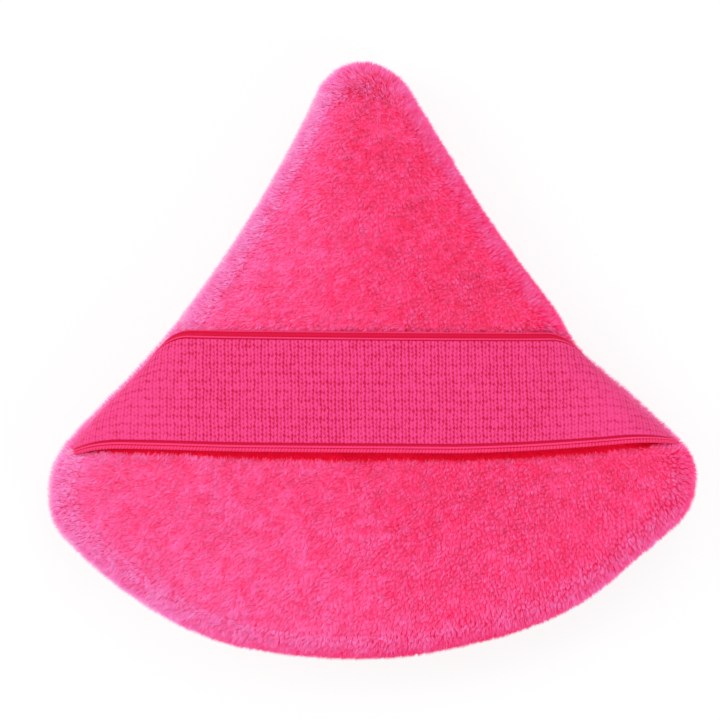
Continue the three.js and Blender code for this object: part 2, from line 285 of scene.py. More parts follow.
def noise(points, cell, seed):
    """Smooth value noise from 0 to 1 at 3-D points, with lattice cells of the size given."""
    p = np.asarray(points) / cell
    base = np.floor(p).astype(np.int64)
    f = p - base
    f = f * f * (3 - 2 * f)
    total = np.zeros(len(p))
    for corner in np.ndindex(2, 2, 2):
        c = base + np.array(corner)
        w = np.prod(np.where(np.array(corner) == 1, f, 1 - f), axis=1)
        total += lattice_hash(c, seed * NOISE_SALT) / HASH_TOP * w
    return total


# Outline of the puff as a table of points and normals, from the bottom's middle round to it again
def outline_table(steps=2880):
    corner_x = PUFF_WIDTH / 2 - CORNER_RADIUS
    corner_y = -PUFF_HEIGHT / 2 + CORNER_RISE
    apex_y = PUFF_HEIGHT / 2 - APEX_RADIUS
    bottom_r = (corner_x**2 + CORNER_RISE**2 - CORNER_RADIUS**2) / (2 * (CORNER_RISE - CORNER_RADIUS))
    bottom_y = -PUFF_HEIGHT / 2 + bottom_r
    to_corner = SIDE_HOLLOW_RADIUS + CORNER_RADIUS
    to_apex = SIDE_HOLLOW_RADIUS + APEX_RADIUS
    span = math.hypot(corner_x, apex_y - corner_y)
    along = (to_corner**2 - to_apex**2 + span**2) / (2 * span)
    aside = math.sqrt(to_corner**2 - along**2)
    side_x = corner_x + (along * -corner_x + aside * (apex_y - corner_y)) / span
    side_y = corner_y + (along * (apex_y - corner_y) + aside * corner_x) / span
    bottom_end = math.atan2(corner_y - bottom_y, corner_x)
    corner_end = math.atan2(side_y - corner_y, side_x - corner_x)
    apex_start = math.atan2(side_y - apex_y, side_x)
    arcs = (
        (0, bottom_y, bottom_r, -math.pi / 2, bottom_end, 1),
        (corner_x, corner_y, CORNER_RADIUS, bottom_end, corner_end, 1),
        (side_x, side_y, SIDE_HOLLOW_RADIUS, corner_end, apex_start, -1),
        (0, apex_y, APEX_RADIUS, apex_start, math.pi / 2, 1),
    )
    points, normals = [], []
    for cx, cy, radius, start, end, sign in arcs:
        angle = np.linspace(start, end, 400, endpoint=False)
        n = np.stack([np.cos(angle), np.sin(angle)], axis=1)
        points.append(np.array([cx, cy]) + sign * radius * n)
        normals.append(n)
    points = np.vstack(points + [np.array([[0, PUFF_HEIGHT / 2]])])
    normals = np.vstack(normals + [np.array([[0, 1.0]])])
    points = np.vstack([points, (points * [-1, 1])[-2:0:-1]])
    normals = np.vstack([normals, (normals * [-1, 1])[-2:0:-1]])
    closed = np.vstack([points, points[:1]])
    length = np.concatenate([[0], np.cumsum(np.linalg.norm(np.diff(closed, axis=0), axis=1))])
    at = np.linspace(0, length[-1], steps, endpoint=False)
    wrapped = np.vstack([normals, normals[:1]])
    even = np.stack([np.interp(at, length, closed[:, i]) for i in range(2)], axis=1)
    even_n = unit(np.stack([np.interp(at, length, wrapped[:, i]) for i in range(2)], axis=1))
    return even, even_n


# Where the sewn outline is fuller or slacker than its even form: direction from the dome's centre
# and spread in degrees, and how far it stands out
UNEVEN = {
    "slack right side": (18, 9, -0.0009),
    "slack under right corner": (-26, 11, -0.0009),
    "slack right of apex": (84, 6, -0.0007),
    "slack right of the bottom": (-70, 12, -0.0003),
    "full left side": (177, 9, 0.0003),
    "slack left corner": (190, 6, -0.0004),
    "full lower left": (229, 21, 0.001),
}


def uneven_outline():
    even, even_n = outline_table()
    angle = np.degrees(np.arctan2(even[:, 1] - DOME_Y, even[:, 0]))
    out = np.zeros(len(even))
    for at, spread, amount in UNEVEN.values():
        away = (angle - at + 180) % 360 - 180
        out += amount * np.exp(-((away / spread) ** 2))
    points = even + even_n * out[:, None]
    along = np.roll(points, -1, axis=0) - np.roll(points, 1, axis=0)
    return points, unit(np.stack([along[:, 1], -along[:, 0]], axis=1))


OUTLINE, OUTLINE_N = uneven_outline()
HALF = len(OUTLINE) // 2
SIDES = {1: np.arange(0, HALF + 1), -1: np.arange(len(OUTLINE), HALF - 1, -1) % len(OUTLINE)}


def side_at(y, side):
    """The outline's right half, 1, or left half, -1, at heights y: x and its normal."""
    rows = SIDES[side]
    ys = OUTLINE[rows, 1]
    x = np.interp(y, ys, OUTLINE[rows, 0])
    n = np.stack([np.interp(y, ys, OUTLINE_N[rows, i]) for i in range(2)], axis=-1)
    return x, unit(n)


def outward_share(x, y):
    """Which share of the way from the dome's centre to the outline places lie at."""
    rel = OUTLINE - [0, DOME_Y]
    angle = np.arctan2(rel[:, 1], rel[:, 0])
    order = np.argsort(angle)
    reach = np.linalg.norm(rel, axis=1)
    at = np.arctan2(y - DOME_Y, x)
    return np.hypot(x, y - DOME_Y) / np.interp(at, angle[order], reach[order], period=2 * math.pi)


def dome_height(share, crown):
    sine = np.clip(share, 0, 1) ** (1 / FULLNESS)
    return ROLL_RISE + (crown - ROLL_RISE) * np.sqrt(np.maximum(1 - sine**2, 0))


def soft_crown(crown):
    """The dome's height on a square grid, blurred so that no ridge runs to the apex or corners."""
    step = CROWN_GRID
    xs = np.arange(-PUFF_WIDTH / 2 - CROWN_MARGIN, PUFF_WIDTH / 2 + CROWN_MARGIN, step)
    ys = np.arange(-PUFF_HEIGHT / 2 - CROWN_MARGIN, PUFF_HEIGHT / 2 + CROWN_MARGIN, step)
    xx, yy = np.meshgrid(xs, ys)
    share = outward_share(xx, yy)
    height = dome_height(share, crown)
    inside = (share < 1).astype(float)
    reach = np.arange(-16, 17) * step
    kernel = np.exp(-0.5 * (reach / CROWN_SOFTNESS) ** 2)
    kernel = kernel / kernel.sum()
    height = height * inside
    for axis in (0, 1):
        height, inside = (np.apply_along_axis(np.convolve, axis, a, kernel, "same") for a in (height, inside))
    return xs, ys, height / np.maximum(inside, 0.05)


def grid_value(grid, x, y):
    xs, ys, values = grid
    step = xs[1] - xs[0]
    fx = np.clip((x - xs[0]) / step, 0, len(xs) - 1.001)
    fy = np.clip((y - ys[0]) / step, 0, len(ys) - 1.001)
    ix, iy = fx.astype(int), fy.astype(int)
    tx, ty = fx - ix, fy - iy
    low = mix(values[iy, ix], values[iy, ix + 1], tx)
    high = mix(values[iy + 1, ix], values[iy + 1, ix + 1], tx)
    return mix(low, high, ty)


def crown_height(x, y, share, up):
    """Height of a cover's outer form above the seam over the dome, soft in the middle."""
    crown = FRONT_CROWN if up > 0 else BACK_CROWN
    soft = grid_value(SOFT_CROWNS[up], x, y)
    return mix(np.minimum(soft, crown), dome_height(share, crown), ramp(share, SOFT_TO, SOFT_TO_OVER))


def table_at(k, table):
    steps = np.arange(len(table) + 1)
    return np.stack([np.interp(k, steps, np.append(table[:, i], table[0, i])) for i in range(2)], axis=-1)


def strap_window(across):
    """How fully the strap's end presses on a cover, by the across coordinate."""
    return smooth((STRAP_HALF + WINDOW_EDGE - np.abs(across)) / WINDOW_EDGE)


def cover_point(k, v, depth, up):
    """A place on a cover, k round the outline table and v from the crown, 0, by the widest line, 1,
    to the seam, 2. Depth is how far it lies inside the cover's outer form."""
    p, n = table_at(k, OUTLINE), table_at(k, OUTLINE_N)
    centre = np.array([0, DOME_Y])
    theta = np.clip(v, 0, 1) * math.pi / 2
    alpha = np.clip(v - 1, 0, 1) * math.pi / 2
    share = np.sin(theta) ** FULLNESS
    free = centre + (p - n * np.asarray(depth)[..., None] - centre) * share[..., None]
    late = np.clip((share - STRAIGHT_SHARE) / (1 - STRAIGHT_SHARE), 0, 1)
    press = late**2 * strap_window(across_of(free[..., 0], free[..., 1], alpha / (math.pi / 2)))
    low_seam = SEAM_GAP / 2 + (BACK_PRESS * press if up < 0 else 0)
    if up > 0:
        depth = depth + END_PRESS * press
    inset = depth + SEAM_TUCK * (1 - np.cos(alpha))
    rolled = mix(ROLL_RISE, low_seam, np.sin(alpha))
    dome = crown_height(free[..., 0], free[..., 1], share, up) - depth * np.cos(theta)
    height = np.where(v <= 1, dome, rolled)
    if up < 0:
        height = np.minimum(height, SEAM_Z - depth)
    xy = centre + (p - n * inset[..., None] - centre) * share[..., None]
    return np.concatenate([xy, (SEAM_Z + up * height)[..., None]], axis=-1)


def pile_depth(v):
    """How deep the backing lies under the pile, by the place between crown and seam."""
    return mix(CROWN_DEPTH, RIM_DEPTH, ramp(v, SHOULDER, SHOULDER_OVER))


def crown_to_rim(steps, to_seam):
    """Values of v close enough for the crown, the shoulder and the roll of a cover."""
    shares = np.linspace(0.004, 0.9, steps)
    dome = np.arcsin(shares ** (1 / FULLNESS)) * 2 / math.pi
    rim = np.linspace(dome[-1], 1, steps // 3)[1:]
    return np.concatenate([dome, rim, np.linspace(1, to_seam, steps // 5)[1:]])


SOFT_CROWNS = {1: soft_crown(FRONT_CROWN), -1: soft_crown(BACK_CROWN)}


# The strap's path over the front cover
def edge_rise(x, across):
    """How far the strap is raised: all of it by its tilt, and its lower edge also towards its ends."""
    low = np.clip((STRAP_HALF - across) / (2 * STRAP_HALF), 0, 1)
    right = RIGHT_RISE * np.clip((x - RIGHT_RISE_FROM) / RIGHT_RISE_OVER, 0, 1) ** RIGHT_RISE_POWER
    left = LEFT_RISE * ramp(-x, LEFT_RISE_FROM, LEFT_RISE_OVER)
    return low * (right + left) + STRAP_TILT * x


def end_slip(across):
    return mix(LOWER_SLIP, UPPER_SLIP, (across + STRAP_HALF) / (2 * STRAP_HALF))


def strap_half_path(across, side, count=500):
    """The middle layer of the strap from its middle to the end of one tab, for one row."""
    slip = end_slip(across)
    row_y = STRAP_RISE + across
    end_x = side * PUFF_WIDTH / 2
    for _ in range(8):
        end_x, end_n = side_at(np.array(row_y - slip + edge_rise(end_x, across)), side)
    t = np.sin(np.linspace(0, math.pi / 2, count))
    late = np.maximum(t - STRAIGHT_SHARE, 0) / (1 - STRAIGHT_SHARE)
    x = end_x * t
    y = row_y - slip * late**2 + edge_rise(x, across)
    share = outward_share(x, y)
    height = crown_height(x, y, share, 1)
    end_inset = END_INSET + LEFT_TIP_INSET * (side < 0) * np.clip(-across / STRAP_HALF, 0, 1) ** 2
    lean = -end_inset * late**2
    lift = mix(LOWER_LIFT, UPPER_LIFT, (across + STRAP_HALF) / (2 * STRAP_HALF)) * (1 - late**2)
    dome = np.stack([x + end_n[0] * lean, y + end_n[1] * lean, height + lift], axis=1)
    turn = np.linspace(0, 1, count // 4)[1:]
    edge_y = y[-1] - TURN_DRIFT * turn
    edge_x, edge_n = side_at(edge_y, side)
    angle = turn * math.pi / 2
    inset = mix(SEAM_INSET, end_inset, np.cos(angle))
    rolled = np.stack([edge_x - edge_n[:, 0] * inset, edge_y - edge_n[:, 1] * inset,
                       ROLL_RISE * (1 - np.sin(angle))], axis=1)
    tab = np.linspace(0, TAB_LENGTH, count // 20)[1:, None]
    tab_n = side_at(np.array(STRAP_RISE - (LOWER_SLIP + UPPER_SLIP) / 2 - TURN_DRIFT), side)[1]
    inward = np.array([-tab_n[0], -tab_n[1], 0])
    path = np.vstack([dome, rolled, rolled[-1] + tab * inward])
    path[:, 2] += SEAM_Z
    return path


def strap_rows(across, columns):
    """Points of the strap's middle layer, [row][column], with each one's distance along from the middle."""
    rows, lengths = [], []
    for a in across:
        path = np.vstack([strap_half_path(a, -1)[:0:-1], strap_half_path(a, 1)])
        middle = np.argmin(np.abs(path[:, 0]))
        run = np.concatenate([[0], np.cumsum(np.linalg.norm(np.diff(path, axis=0), axis=1))])
        run = run - run[middle]
        left = np.linspace(run[0], 0, columns // 2, endpoint=False)
        at = np.concatenate([left, np.linspace(0, run[-1], columns - len(left))])
        rows.append(np.stack([np.interp(at, run, path[:, i]) for i in range(3)], axis=1))
        lengths.append(at)
    return np.array(rows), np.array(lengths)


def across_of(x, y, turn):
    """The strap's across coordinate at places on the cover, where turn goes from 0 to 1 round the roll."""
    across = y - STRAP_RISE
    for _ in range(5):
        slip = end_slip(np.clip(across, -STRAP_HALF, STRAP_HALF))
        row_y = STRAP_RISE + across - slip
        end_x = np.where(x > 0, side_at(row_y, 1)[0], -side_at(row_y, -1)[0])
        late = np.clip(np.abs(x) / np.maximum(end_x, 1e-4) - STRAIGHT_SHARE, 0, 1 - STRAIGHT_SHARE)
        late = late / (1 - STRAIGHT_SHARE)
        across = (y - STRAP_RISE + slip * np.where(turn > 0, 1, late**2) + TURN_DRIFT * turn
                  - edge_rise(x, np.clip(across, -STRAP_HALF, STRAP_HALF)))
    return across


# Meshes from arrays
def add_object(name, data):
    obj = bpy.data.objects.new(name, data)
    bpy.context.scene.collection.objects.link(obj)
    return obj


def make_mesh(name, points, faces, materials, slots=None, smooth_faces=True):
    """An object from points and a list of face arrays, each with its own number of corners."""
    mesh = bpy.data.meshes.new(name)
    mesh.vertices.add(len(points))
    mesh.vertices.foreach_set("co", np.asarray(points, np.float32).ravel())
    corners = np.concatenate([f.ravel() for f in faces]).astype(np.int32)
    sizes = np.concatenate([np.full(len(f), f.shape[1], np.int32) for f in faces])
    starts = np.concatenate([[0], np.cumsum(sizes)[:-1]]).astype(np.int32)
    mesh.loops.add(len(corners))
    mesh.loops.foreach_set("vertex_index", corners)
    mesh.polygons.add(len(sizes))
    mesh.polygons.foreach_set("loop_start", starts)
    mesh.polygons.foreach_set("loop_total", sizes)
    if slots is not None:
        mesh.polygons.foreach_set("material_index", np.concatenate(slots).astype(np.int32))
    mesh.polygons.foreach_set("use_smooth", np.full(len(sizes), smooth_faces))
    mesh.update(calc_edges=True)
    for material in materials:
        mesh.materials.append(material)
    return add_object(name, mesh)


def grid_faces(rows, columns, joined):
    """Quads of a grid whose points run along each row in turn, its columns joined end to end or not."""
    r = np.arange(rows - 1)[:, None]
    c = np.arange(columns if joined else columns - 1)[None, :]
    n = (c + 1) % columns
    quads = np.stack(np.broadcast_arrays(r * columns + c, r * columns + n, (r + 1) * columns + n,
                                         (r + 1) * columns + c), axis=-1)
    return quads.reshape(-1, 4)


def tube_faces(rows, columns):
    """Quads of a tube given as rows round it, each with its steps along it."""
    r = np.arange(rows)[:, None]
    c = np.arange(columns - 1)[None, :]
    n = (r + 1) % rows
    quads = np.stack(np.broadcast_arrays(r * columns + c, r * columns + c + 1, n * columns + c + 1,
                                         n * columns + c), axis=-1)
    return quads.reshape(-1, 4)


def grid_normals(points):
    """Normals of a grid of points [row][column], by the directions to its neighbours."""
    down = np.gradient(points, axis=0)
    along = np.gradient(points, axis=1)
    return unit(np.cross(along, down))


# Materials
def principled(name, color, roughness, sheen, sheen_tint):
    material = bpy.data.materials.new(name)
    material.use_nodes = True
    shader = material.node_tree.nodes["Principled BSDF"]
    shader.inputs["Base Color"].default_value = (*color, 1)
    shader.inputs["Roughness"].default_value = roughness
    shader.inputs["Specular IOR Level"].default_value = 0.12
    shader.inputs["Sheen Weight"].default_value = sheen
    shader.inputs["Sheen Roughness"].default_value = 0.45
    shader.inputs["Sheen Tint"].default_value = (*sheen_tint, 1)
    return material, shader


def linear(red, green, blue):
    """A colour given as 0 to 255 screen values, in Blender's linear values."""
    def one(c):
        c = c / 255
        return c / 12.92 if c <= 0.04045 else ((c + 0.055) / 1.055) ** 2.4
    return tuple(one(c) for c in (red, green, blue))


# The first pile colour is a painted shadow, for the pile beside the strap
PLUSH_PAINTED_SHADOW = linear(247, 8, 62)
PLUSH_DEEP = linear(255, 64, 148)
PLUSH_MIDDLE = linear(255, 158, 228)
PLUSH_PALE = linear(255, 208, 234)
SHEEN_PINK = (1.0, 0.55, 0.8)
BACKING_DARK = linear(254, 62, 140)
BACKING_LIGHT = linear(255, 134, 200)
# Knit and cord colours run from dark, painted shade in the gaps, rows and grooves, to light, the yarn on top
KNIT_DARK = linear(196, 7, 64)
KNIT_LIGHT = linear(233, 66, 132)
CORD_DARK = linear(206, 5, 58)
CORD_LIGHT = linear(242, 60, 120)
FOAM_FACE = linear(248, 242, 228)
FOAM_PORE_SHADE = linear(206, 196, 176)
FOAM_WALL = linear(250, 245, 233)
THREAD_MIDDLE = linear(224, 44, 104)
THREAD_DARK = linear(196, 24, 82)
THREAD_LIGHT = linear(240, 70, 128)


def plush_shades():
    """The pile's shades, from the painted shadow beside the strap to the palest."""
    shades = [principled("plush_shade_1", PLUSH_PAINTED_SHADOW, 0.8, 0.1, SHEEN_PINK)[0]]
    for i in range(1, SHADES):
        t = (i - 1) / (SHADES - 2)
        color = tuple(np.interp(t, (0, 0.6, 1), c) for c in zip(PLUSH_DEEP, PLUSH_MIDDLE, PLUSH_PALE))
        shades.append(principled(f"plush_shade_{i + 1}", color, 0.7, 0.4, SHEEN_PINK)[0])
    return shades


def texture(material, kind, scale):
    """A texture of the kind and scale given, in the object's own space."""
    nodes, links = material.node_tree.nodes, material.node_tree.links
    place = nodes.new("ShaderNodeTexCoord")
    node = nodes.new(f"ShaderNodeTex{kind}")
    node.inputs["Scale"].default_value = scale
    links.new(place.outputs["Object"], node.inputs["Vector"])
    return node


def color_by(material, value, dark, light, start=0.0, end=1.0):
    """Colours a material from dark to light by a value between the start and the end."""
    nodes, links = material.node_tree.nodes, material.node_tree.links
    colors = nodes.new("ShaderNodeValToRGB")
    for element, position, color in zip(colors.color_ramp.elements, (start, end), (dark, light)):
        element.position = position
        element.color = (*color, 1)
    links.new(value, colors.inputs["Fac"])
    links.new(colors.outputs["Color"], nodes["Principled BSDF"].inputs["Base Color"])


def bump_by(material, value, strength, distance):
    nodes, links = material.node_tree.nodes, material.node_tree.links
    bump = nodes.new("ShaderNodeBump")
    bump.inputs["Strength"].default_value = strength
    bump.inputs["Distance"].default_value = distance
    links.new(value, bump.inputs["Height"])
    links.new(bump.outputs["Normal"], nodes["Principled BSDF"].inputs["Normal"])


def math_node(material, operation, *values):
    """The outcome of an operation on values, each a number or another node's outcome."""
    node = material.node_tree.nodes.new("ShaderNodeMath")
    node.operation = operation
    for socket, value in zip(node.inputs, values):
        if isinstance(value, float):
            socket.default_value = value
        else:
            material.node_tree.links.new(value, socket)
    return node.outputs["Value"]


def backing_material():
    material = principled("plush_backing", PLUSH_DEEP, 0.9, 0.3, SHEEN_PINK)[0]
    fine = texture(material, "Noise", 2600)
    color_by(material, fine.outputs["Fac"], BACKING_DARK, BACKING_LIGHT, 0.3, 0.75)
    bump_by(material, fine.outputs["Fac"], 0.6, 0.0002)
    return material


def knit_material(name, dark, light, sheen):
    """Knit elastic: the colour follows the relief kept on the mesh, low places painted darker as shade, with
    a fine yarn grain.
    """
    material = principled(name, light, 0.6, sheen, SHEEN_PINK)[0]
    relief = material.node_tree.nodes.new("ShaderNodeAttribute")
    relief.attribute_name = "relief"
    grain = texture(material, "Noise", 5200).outputs["Fac"]
    patch = texture(material, "Noise", 420).outputs["Fac"]
    with_grain = math_node(material, "MULTIPLY_ADD", grain, 0.35, relief.outputs["Fac"])
    value = math_node(material, "MULTIPLY_ADD", patch, 0.25, with_grain)
    color_by(material, value, dark, light, 0.36, 1.0)
    bump_by(material, grain, 0.4, 0.00006)
    return material


def foam_material():
    material = principled("open_foam", FOAM_FACE, 0.95, 0.0, (1, 1, 1))[0]
    pores = texture(material, "Voronoi", 1800)
    # The pores are painted darker than the walls, as shade in their hollows
    color_by(material, pores.outputs["Distance"], FOAM_PORE_SHADE, FOAM_WALL, 0.0, 0.5)
    return material


def thread_material():
    material = principled("sewing_thread", THREAD_MIDDLE, 0.45, 0.1, SHEEN_PINK)[0]
    ply = texture(material, "Wave", 900)
    ply.inputs["Distortion"].default_value = 1.5
    color_by(material, ply.outputs["Fac"], THREAD_DARK, THREAD_LIGHT)
    return material


# The pile
def strap_press_and_painted_shadow(points, v):
    """By the strap on the front cover: how free the pile stands, what share of it takes the painted shadow
    colour beside the strap's edges, and how much of it is pushed away from the lower edge."""
    x = points[:, 0]
    across = across_of(x, points[:, 1], np.clip(v - 1, 0, 1))
    beyond = np.maximum(across - STRAP_TOP, -STRAP_HALF - across)
    free = smooth((beyond + PRESSED_PAST) / np.where(across > 0, UPPER_FREE_OVER, LOWER_FREE_OVER))
    # Painted shadow below the lower edge: widest near the middle, patchy, wider at the right end and narrower
    # at the left, then a fainter one above the upper edge
    from_middle = np.abs(x - SHADOW_MIDDLE)
    wide = SHADOW_WIDE * (1 - ramp(from_middle, SHADOW_EVEN_HALF, SHADOW_FADES_OVER))
    wide = wide + SHADOW_WIDE * noise(points, SHADOW_PATCH, 12)
    wide = wide + SHADOW_WIDE * ramp(x, 0.03, 0.004) - SHADOW_LEFT_LOSS * ramp(-x, 0.018, 0.008)
    below = 1 - smooth((beyond - wide) / SHADOW_EDGE)
    above = UPPER_SHADOW * (1 - smooth(beyond / UPPER_SHADOW_WIDE))
    shadow = np.where(across > 0, above, below) * smooth((beyond + SHADOW_UNDER) / SHADOW_EDGE)
    away = (across < 0) * smooth((STRAP_HALF + PUSHED_PAST + across) / PUSHED_OVER)
    return free, shadow, away


def comb_angle(x, y):
    """The way that the pile is combed, in degrees from +X towards +Y, over the puff."""
    mm = 0.001
    swing = COMB_SWING + COMB_PER_X * x / mm + COMB_PER_Y * np.maximum(y / mm - COMB_Y_FROM, 0)
    return 180 + np.clip(swing, *COMB_LIMITS)


def combed_way(roots, up):
    """The flat direction of each strand, with every tuft and strand turned a little off the comb."""
    x, y = roots[:, 0], roots[:, 1]
    tuft = noise(roots, TUFT_SIZE, 3) - 0.5
    degrees = comb_angle(x * up, y) + COMB_DRIFT * (noise(roots, 0.0045, 4) - 0.5)
    degrees = degrees + TUFT_TURN * tuft + STRAND_TURN * (RNG.random(len(roots)) - 0.5)
    angle = np.radians(degrees)
    return np.stack([np.cos(angle) * up, np.sin(angle), np.zeros(len(roots))], axis=1)


def stand_share(x, y):
    """How steeply the pile stands, from 0 on the left to 1 on the right and above, less at the apex."""
    stand = np.maximum(ramp(x, STAND_X, STAND_X_OVER), ramp(y, STAND_Y, STAND_Y_OVER))
    return stand * (1 - APEX_LIES_SHARE * ramp(y, NEAR_APEX, 0.01))


def lean_over(lean_way, outward, normals, y, stand, upright, rim):
    """Which way along the cloth each strand leans, and by how many degrees. It goes with the comb, but
    outward where the comb would lay it uphill, and sideways between the two near the apex."""
    against = np.maximum(-np.sum(lean_way * outward, axis=1), 0) * smooth(2.5 * upright)
    off_rim = 1 - RIM_LEAN_LOSS * rim
    combed = mix(mix(LEAN_LEFT, LEAN_RIGHT, stand), LEAN_RIM, upright) * (1 - AGAINST_LOSS * against)
    turned_out = (LEAN_OUT * upright + LEAN_TURNED * against) * off_rim
    pulled = combed[:, None] * lean_way + turned_out[:, None] * outward
    sideways = LEAN_SIDEWAYS * np.sin(math.pi * against) * ramp(y, NEAR_APEX, 0.008) * off_rim
    beside = np.stack([lean_way[:, 1], -lean_way[:, 0], np.zeros(len(y))], axis=1)
    pulled = pulled + sideways[:, None] * beside
    pulled = pulled - np.sum(pulled * normals, axis=1, keepdims=True) * normals
    size = np.clip(np.linalg.norm(pulled, axis=1), 0, LEAN_MOST)
    return unit(pulled), np.degrees(np.arcsin(size))


def scatter(up):
    """Roots of the pile on one cover, spread evenly: points, normals and their place from the crown,
    0, by the widest line, 1, to the seam, 2."""
    ks = np.linspace(0, len(OUTLINE), 721)
    vs = crown_to_rim(60, 1.9)
    kk, vv = np.meshgrid(ks, vs)
    grid = cover_point(kk, vv, pile_depth(vv), up)
    normal = -grid_normals(grid) * up
    a, b, c, d = grid[:-1, :-1], grid[:-1, 1:], grid[1:, 1:], grid[1:, :-1]
    halves = [np.linalg.norm(np.cross(p - a, q - a), axis=-1) for p, q in ((b, c), (c, d))]
    area = (halves[0] + halves[1]) / 2
    rim = vv[:-1, :-1] > BENT_FROM
    density = np.where(rim, RIM_PER_MM2[up], CROWN_PER_MM2[up])
    count = np.floor(area * density * 1e6 + RNG.random(area.shape)).astype(int)
    cell = np.repeat(np.arange(area.size), count.ravel())
    r, q = np.divmod(cell, area.shape[1])
    s, t = RNG.random((2, len(cell)))
    w = [(1 - s) * (1 - t), (1 - s) * t, s * t, s * (1 - t)]
    at = [(r, q), (r, q + 1), (r + 1, q + 1), (r + 1, q)]
    roots = sum(wi[:, None] * grid[i] for wi, i in zip(w, at))
    normals = unit(sum(wi[:, None] * normal[i] for wi, i in zip(w, at)))
    return roots, normals, sum(wi * vv[i] for wi, i in zip(w, at))


def clump_ids(points, cell):
    """Which clump each point joins: the nearest jittered point of a lattice."""
    base = np.floor(points / cell).astype(np.int64)
    best = np.full(len(points), np.inf)
    chosen = np.zeros(len(points), np.int64)
    for offset in np.ndindex(3, 3, 3):
        c = base + np.array(offset) - 1
        jitter = np.stack([lattice_hash(c, seed * CLUMP_SALT) / HASH_TOP for seed in (1, 2, 3)], axis=1)
        gap = np.sum((points - (c + jitter) * cell) ** 2, axis=1)
        nearer = gap < best
        best[nearer] = gap[nearer]
        place = (c[:, 0] + 5000) * 100000000 + (c[:, 1] + 5000) * 10000 + c[:, 2] + 5000
        chosen[nearer] = place[nearer]
    return np.unique(chosen, return_inverse=True)[1]


def clump_mean(values, ids):
    count = np.bincount(ids)
    return np.stack([np.bincount(ids, values[:, i]) / count for i in range(values.shape[1])], axis=1)[ids]


def strand_tone(roots, normals, outward, upright, rim, stand, crisp, apart, clump_tone):
    """How pale each strand is: by where it stands, painted light by where it faces, painted shade towards the
    edge of its tuft, and by its clump.
    """
    y = roots[:, 1]
    # Painted light: paler on slopes facing left, towards the apex and towards the bottom, and at the rim;
    # painted shade towards the edge of each tuft
    to_left = np.maximum(-normals[:, 0], 0)
    turned = TONE_LEFT * to_left + TONE_RIM * rim
    turned = turned + TONE_LEFT_RIM * rim * to_left + TONE_TUFT * (0.5 - apart) * mix(0.6, 1, crisp)
    turned = turned + TONE_UP * np.maximum(normals[:, 1], 0) * np.maximum(1 - stand, ramp(y, 0.016, 0.012))
    # Painted shade at the bottom rim, where the paleness of slopes facing the bottom gives way
    bottom = ramp(-outward[:, 1], 0.8, 0.18) * upright
    turned = turned + TONE_DOWN * np.maximum(-normals[:, 1], 0) * (1 - BOTTOM_LOSS * bottom)
    tone = TONE + TONE_LOW * smooth((0.005 - y) / 0.01) + turned
    tone = tone + TONE_PATCH * (noise(roots, PATCH_SIZE, 11) - 0.5)
    tone = tone + TONE_SPOT * (noise(roots, SPOT_SIZE, 13) - 0.5) + TONE_CLUMP * (clump_tone - 0.5)
    return tone + TONE_STRAND * (RNG.random(len(roots)) - 0.5)


def lay_pile(up):
    """Strands of one cover's pile: root, middle and tip points, radius, shade and whether each is bent."""
    roots, normals, v = scatter(up)
    x, y = roots[:, 0], roots[:, 1]
    count = len(roots)
    lean_way = combed_way(roots, up)
    outward = unit(normals * [1, 1, 0])
    stand = stand_share(x * up, y)
    if up > 0:
        free, shadow, away = strap_press_and_painted_shadow(roots, v)
        lean_way = unit(mix(lean_way, np.array([0, -1, 0]), PUSHED_SHARE * away[:, None]))
    upright = smooth((1 - np.abs(normals[:, 2])) / 0.65)
    rim = smooth(1 - np.abs(normals[:, 2]) / 0.7)
    rows = np.sin(2 * math.pi * (x + ROW_WANDER * noise(roots, 0.0015, 6)) / ROW_PITCH)
    rows = rows * ramp(x, -0.005, 0.03) * smooth((0.012 - y) / 0.02)
    tilt = mix(CROWN_TILT, RIM_TILT, upright) * (noise(roots, TUFT_SIZE, 5) - 0.5 + ROW_TILT * rows)
    along, lean = lean_over(lean_way, outward, normals, y, stand, upright, rim)
    lean = np.radians(lean + tilt + STRAND_TILT * (RNG.random(count) - 0.5))
    ragged = mix(CROWN_RAGGED, RIM_RAGGED, rim) * RNG.random(count)
    length = mix(CROWN_LENGTH, RIM_LENGTH, ramp(v, SHOULDER, SHOULDER_OVER))
    length = length * (LENGTH_BASE + LENGTH_SPREAD * noise(roots, LENGTH_SIZE, 9) + ragged)
    if up > 0:
        lean = mix(np.radians(PRESSED_DEGREES), lean, free)
        length = length * mix(PRESSED_LENGTH, 1, free)
    tips = roots + length[:, None] * (normals * np.cos(lean)[:, None] + along * np.sin(lean)[:, None])
    ids = clump_ids(roots, CLUMP_SIZE)
    gather = clump_mean(tips, ids) - tips
    crisp = stand * smooth((0.034 - y) / 0.016)
    apart = np.clip(np.linalg.norm(gather, axis=1) / (0.5 * CLUMP_SIZE), 0, 1)
    pull = (CLUMP_PULL * mix(1, 1.5, crisp) * mix(1, 0.3, upright))[:, None]
    tips = tips + pull * gather
    early = lean * MIDDLE_LEAN
    middles = roots + MIDDLE_AT * length[:, None] * (
        normals * np.cos(early)[:, None] + along * np.sin(early)[:, None]) + MIDDLE_GATHER * pull * gather
    clump_tone = clump_mean(RNG.random((count, 1)), ids)[:, 0]
    tone = strand_tone(roots, normals, outward, upright, rim, stand, crisp, apart, clump_tone)
    step = np.clip(1 + np.floor(tone * (SHADES - 2) + RNG.random(count)), 1, SHADES - 1)
    # Painted shadow: beside the strap's edges a share of the strands take the deep shadow shade
    if up > 0:
        step = np.where(RNG.random(count) < shadow, 0, step)
    bent = v > BENT_FROM
    return {"root": roots, "middle": middles, "tip": tips, "radius": np.where(bent, RIM_RADIUS, CROWN_RADIUS),
            "step": step.astype(int), "bent": bent}


